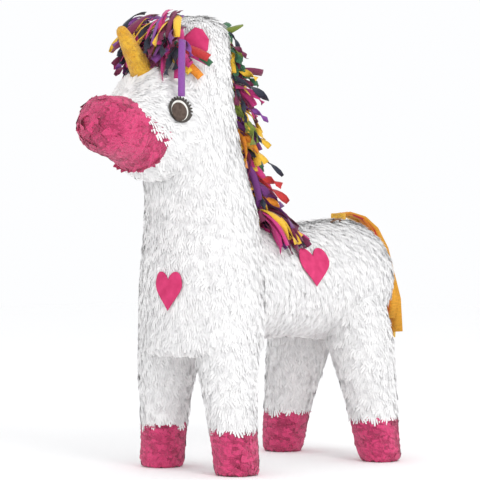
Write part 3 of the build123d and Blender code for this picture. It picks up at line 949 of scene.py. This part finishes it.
# %% [markdown]
# ## Horn
# A cardboard cone is wound with yellow crepe, so its skin is slightly lumpy, and the crepe's lower end
# flares out where it is pasted to the forehead. A turned profile with a little noise on each ring
# makes the lumps in the mesh itself. It stands for the horn's core and its wrap.

# %% Horn
draw = random.Random(9)
HORN_BASE = Vector((0, -0.175, 0.467))
HORN_TILT = math.radians(35)
HORN_SIDES = 28
HORN_UP = Vector((0, -math.sin(HORN_TILT), math.cos(HORN_TILT)))
HORN_SIDE = Vector((1, 0, 0))
HORN_FRONT = HORN_UP.cross(HORN_SIDE)
HORN_PROFILE = [  # height along the horn and radius, in mm
    (-6, 15.0), (-2, 14.4), (3, 13.2), (9, 12.4), (18, 11.5), (28, 10.4), (38, 9.0), (47, 7.6),
    (53, 6.6), (56, 5.2), (58, 2.8),
]
horn = bmesh.new()
rings = []
for height, radius in HORN_PROFILE:
    ring = []
    for index in range(HORN_SIDES):
        angle = 2 * math.pi * index / HORN_SIDES
        lump = 0.30 * math.sin(5 * angle + 0.22 * height) + draw.uniform(-0.22, 0.22)
        reach = (radius + lump * min(1, radius / 6)) * MM
        spot = HORN_BASE + HORN_UP * (height * MM)
        spot += (HORN_SIDE * math.cos(angle) + HORN_FRONT * math.sin(angle)) * reach
        ring.append(horn.verts.new(spot))
    rings.append(ring)
for lower, upper in zip(rings, rings[1:]):
    for index in range(HORN_SIDES):
        following = (index + 1) % HORN_SIDES
        quad = [lower[index], lower[following], upper[following], upper[index]]
        horn.faces.new(quad).smooth = True
horn.faces.new(rings[-1])
horn.faces.new(list(reversed(rings[0])))
bmesh.ops.recalc_face_normals(horn, faces=horn.faces)
horn_data = bpy.data.meshes.new("horn_crepe")
horn.to_mesh(horn_data)
horn_data.materials.append(yellow)
horn_piece = bpy.data.objects.new("horn_crepe", horn_data)
scene.collection.objects.link(horn_piece)
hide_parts("horn_wrap", "horn_core")
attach(horn_piece, "figure")
print("horn top:", round(max(v.co.z for v in horn_data.vertices), 4))

# %% [markdown]
# ## Tail
# Wide orange streamers are rolled round a tab on the rump. They leave it almost level, fall over the
# rump and hang down behind. The bundle is not made to ride on the figure or on the tail; it stays
# where it is built.

# %% Tail
draw = random.Random(5)
tail, layers = new_bundle()
tab_low, tab_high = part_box("tail_tab")
TAIL_STREAMERS = 24
ACROSS_TAB = 12
TAIL_LINE = [  # sideways share, distance back and drop in mm
    (0.7, 18, -1.5), (1.0, 40, 4), (1.4, 60, 19), (1.9, 74, 44), (2.4, 80, 76), (2.9, 84, 108),
    (3.1, 85, 136),
]
for index in range(TAIL_STREAMERS):
    spread = -1 + 2 * (index % ACROSS_TAB) / (ACROSS_TAB - 1)
    x = spread * 9 * MM
    root = Vector((0.45 * x, tab_low.y + 5 * MM, tab_high.z - draw.uniform(0, 3.5) * MM))
    colour = "red" if index in (10, 19) else draw.choice(["orange", "yellow", "amber", "amber"])
    reach = draw.uniform(0.84, 1.03)
    path = [root]
    for shift, away, drop in TAIL_LINE:
        spot = root + Vector(((shift - 0.45) * x, away * reach * MM, -drop * MM))
        wave = Vector((draw.uniform(-3, 3), draw.uniform(-2.5, 1), 0)) * (MM * min(1, drop / 40))
        path.append(clear_of_figure(spot + wave, 3 * MM))
    path[-1].z -= draw.uniform(-14, 20) * MM
    ribbon(tail, layers, path, draw.uniform(13, 19) * MM, Vector((1, 0.5 * spread, 0)), colour,
           draw.uniform(-0.6, 0.6), 0.0, 0.5)
piece = tie_bundle("tail_paper", tail, "tail_streamers")
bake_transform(piece)

# %% [markdown]
# ## Hearts and eyes
# These are cut from paper and card, and glued on last, over the fringe. Each could be drawn anew, but
# its node has the right outline. So it is a copy of the node, moved out by the depth of the fringe.

# %% Pieces glued over the fringe


def glued_over(node, lift, outward, material):
    """A copy of a node, moved out from the skin, that stands for it."""
    mesh = bmesh.new()
    mesh.from_mesh(nodes[node].data)
    bmesh.ops.remove_doubles(mesh, verts=mesh.verts, dist=0.01 * MM)
    for vert in mesh.verts:
        vert.co += outward(vert.co).normalized() * lift
    data = bpy.data.meshes.new(node + "_paper")
    mesh.to_mesh(data)
    data.materials.append(material)
    thing = bpy.data.objects.new(node + "_paper", data)
    scene.collection.objects.link(thing)
    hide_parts(node)
    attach(thing, "figure")


def from_neck(point):
    away = point - neck_axis(point)
    return Vector((away.x, away.y, 0))


def from_barrel(point):
    return point - barrel_axis(point)


def sideways(point):
    return Vector((math.copysign(1, point.x), 0, 0))


glued_over("chest_heart", 2.4 * MM, from_neck, pink_paper)
for side in ("left", "right"):
    glued_over(side + "_flank_heart", 2.8 * MM, from_barrel, pink_paper)
    glued_over(side + "_eye_white", 3.0 * MM, sideways, white_card)
    glued_over(side + "_eye_iris", 3.6 * MM, sideways, felt)
print("glued over the fringe: 3 hearts, 2 eye whites, 2 irises")

# %% [markdown]
# ## Ears
# Each ear is one piece of pink paper that bulges forward. Its node is too plain for that. So a fan of
# points round a raised centre makes the dome, a subdivision rounds it, and it gets paper's thickness.

# %% Ears
EAR_FACE = Vector((0.58, -0.78, 0.22)).normalized()
EAR_PAPER = 0.8 * MM
EAR_CENTRE_Y = 12
EAR_DOME, EAR_RIM_DROP = 5.5, 2.5
EAR_OUTLINE = [(-15, 6), (-13, 15), (0, 27), (9, 24), (17, 12), (16, -1), (13, -4), (-7, 1)]
for side, sign in (("left", 1), ("right", -1)):
    ear_middle = Vector((sign * 0.039, -0.127, 0.489)) + Vector((sign * 2, -3, 1)) * MM
    facing = Vector((sign * EAR_FACE.x, EAR_FACE.y, EAR_FACE.z))
    ear_across = Vector((0, 0, 1)).cross(facing).normalized()
    ear_up = facing.cross(ear_across)
    mesh = bmesh.new()
    centre = mesh.verts.new(ear_middle + ear_up * (EAR_CENTRE_Y * MM) + facing * (EAR_DOME * MM))
    rims = []
    for share in (0.5, 1.0):
        rim = []
        for x, y in EAR_OUTLINE:
            spot = ear_middle + ear_across * (x * share * sign * MM)
            up = ear_up * ((EAR_CENTRE_Y + (y - EAR_CENTRE_Y) * share) * MM)
            spot += up + facing * ((EAR_DOME - EAR_RIM_DROP * share**2) * MM)
            rim.append(mesh.verts.new(spot))
        rims.append(rim)
    for index in range(len(EAR_OUTLINE)):
        following = (index + 1) % len(EAR_OUTLINE)
        mesh.faces.new([centre, rims[0][index], rims[0][following]])
        mesh.faces.new([rims[0][index], rims[1][index], rims[1][following], rims[0][following]])
    bmesh.ops.subdivide_edges(mesh, edges=mesh.edges, cuts=1, use_grid_fill=True, smooth=0.6)
    bmesh.ops.recalc_face_normals(mesh, faces=mesh.faces)
    for face in mesh.faces:
        face.smooth = True
    data = bpy.data.meshes.new(side + "_ear_paper")
    mesh.to_mesh(data)
    data.materials.append(pink_paper)
    ear = bpy.data.objects.new(side + "_ear_paper", data)
    scene.collection.objects.link(ear)
    thicken = ear.modifiers.new("paper", "SOLIDIFY")
    thicken.thickness, thicken.offset = EAR_PAPER, 0
    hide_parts(side + "_ear")
    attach(ear, "figure")
    print(ear.name, "faces:", len(data.polygons))

# %% [markdown]
# ## Lashes
# Each eye stands on a dark disc of card whose upper and back edge is cut into lashes. It could be
# a flat disc, but the cheek is round. So every point of the disc is shot at the skin and set a
# little in front of it, and each third point of the cut edge is drawn in, which leaves the lashes.

# %% Lashes
LASH_CARD = 0.9 * MM
OVER_CHEEK = 2.8 * MM
LASH_TURNS = 72


def lash_piece(node, side):
    """A disc of card that follows the cheek; side is 1 for the left eye and -1 for the right."""
    low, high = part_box(node)
    centre = (low + high) / 2
    half_y, half_z = (high.y - low.y) / 2, (high.z - low.z) / 2
    mesh = bmesh.new()
    rings = []
    for ring in (0.0, 0.5, 0.8, 1.0):
        row = []
        for index in range(LASH_TURNS):
            angle = 2 * math.pi * index / LASH_TURNS
            reach = ring
            if ring == 1.0 and math.cos(angle) > -0.75 and math.sin(angle) > -0.45:
                reach = 1.02 if index % 3 else 0.80
            y = centre.y + math.cos(angle) * half_y * reach
            z = centre.z + math.sin(angle) * half_z * reach
            row.append(Vector((0, y, z)))
        rings.append(row)
    verts = []
    for row in rings:
        line = []
        for point in row:
            start = Vector((side * 0.2, point.y, point.z))
            hit = figure_tree.ray_cast(start, Vector((-side, 0, 0)))[0]
            beside = Vector((centre.x, point.y, point.z))
            spot = hit + Vector((side, 0, 0)) * OVER_CHEEK if hit else beside
            line.append(mesh.verts.new(spot))
        verts.append(line)
    for inner, outer in zip(verts, verts[1:]):
        for index in range(LASH_TURNS):
            following = (index + 1) % LASH_TURNS
            corners = [inner[index], outer[index], outer[following], inner[following]]
            if side < 0:
                corners.reverse()
            mesh.faces.new(corners)
    bmesh.ops.remove_doubles(mesh, verts=mesh.verts, dist=0.05 * MM)
    data = bpy.data.meshes.new(node + "_card")
    mesh.to_mesh(data)
    data.materials.append(lash_card)
    thing = bpy.data.objects.new(node + "_card", data)
    scene.collection.objects.link(thing)
    thicken = thing.modifiers.new("card", "SOLIDIFY")
    thicken.thickness, thicken.offset = LASH_CARD, 0
    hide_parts(node)
    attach(thing, "figure")
    print(node, "faces:", len(data.polygons))


lash_piece("left_eye_lashes", 1)
lash_piece("right_eye_lashes", -1)

# %% [markdown]
# ## Floor
# The floor is a plain pale sheet and isn't part of the pinata.

# %% Floor
floor_data = bpy.data.meshes.new("floor")
FLOOR_HALF = 4.0
corners = [(-FLOOR_HALF, -FLOOR_HALF, 0), (FLOOR_HALF, -FLOOR_HALF, 0)]
corners += [(FLOOR_HALF, FLOOR_HALF, 0), (-FLOOR_HALF, FLOOR_HALF, 0)]
floor_data.from_pydata(corners, [], [(0, 1, 2, 3)])
floor_finish = Finish("floor", 0.9)
floor_finish.shader.inputs["Base Color"].default_value = (0.99, 0.99, 0.99, 1)
floor_data.materials.append(floor_finish.material)
floor = bpy.data.objects.new("floor", floor_data)
scene.collection.objects.link(floor)
print("floor half width:", FLOOR_HALF)
